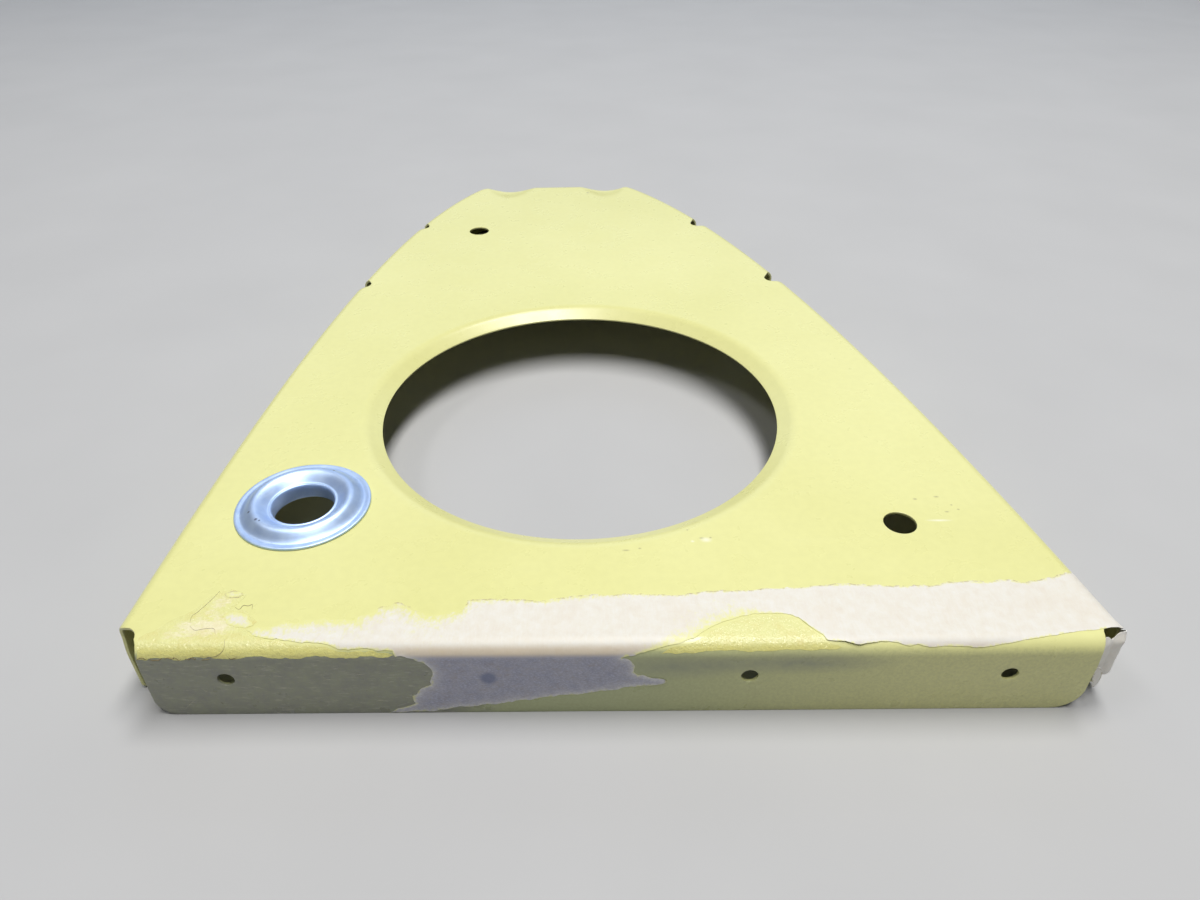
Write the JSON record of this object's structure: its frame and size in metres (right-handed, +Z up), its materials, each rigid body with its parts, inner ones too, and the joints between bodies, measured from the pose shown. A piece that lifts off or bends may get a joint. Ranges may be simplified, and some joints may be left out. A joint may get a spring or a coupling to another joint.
{
  "type": "aircraft wing rib",
  "caption": "Pressed sheet leading-edge wing rib with flanges all round, fluted nose, flared lightening hole, cable grommet and torn masking tape along its spar flange.",
  "frame": {"origin": "bottom centre of the bounding box, at the flange edges the rib rests on", "axes": "+Z up out of the web, +Y from the spar flange to the nose, +X to the right when the spar flange faces the viewer"},
  "size_m": [0.1726, 0.2258, 0.0188],
  "materials": {
    "yellow_primer": "satin pale yellow primer on thin aluminium sheet",
    "bare_aluminium": "bright spun aluminium",
    "paper_tape": "matt crepe paper tape, torn and stained"
  },
  "bodies": {
    "root": {"rib_sheet": "yellow_primer", "grommet": "bare_aluminium", "masking_tape": "paper_tape", "tape_tab": "paper_tape"}
  },
  "joints": []
}
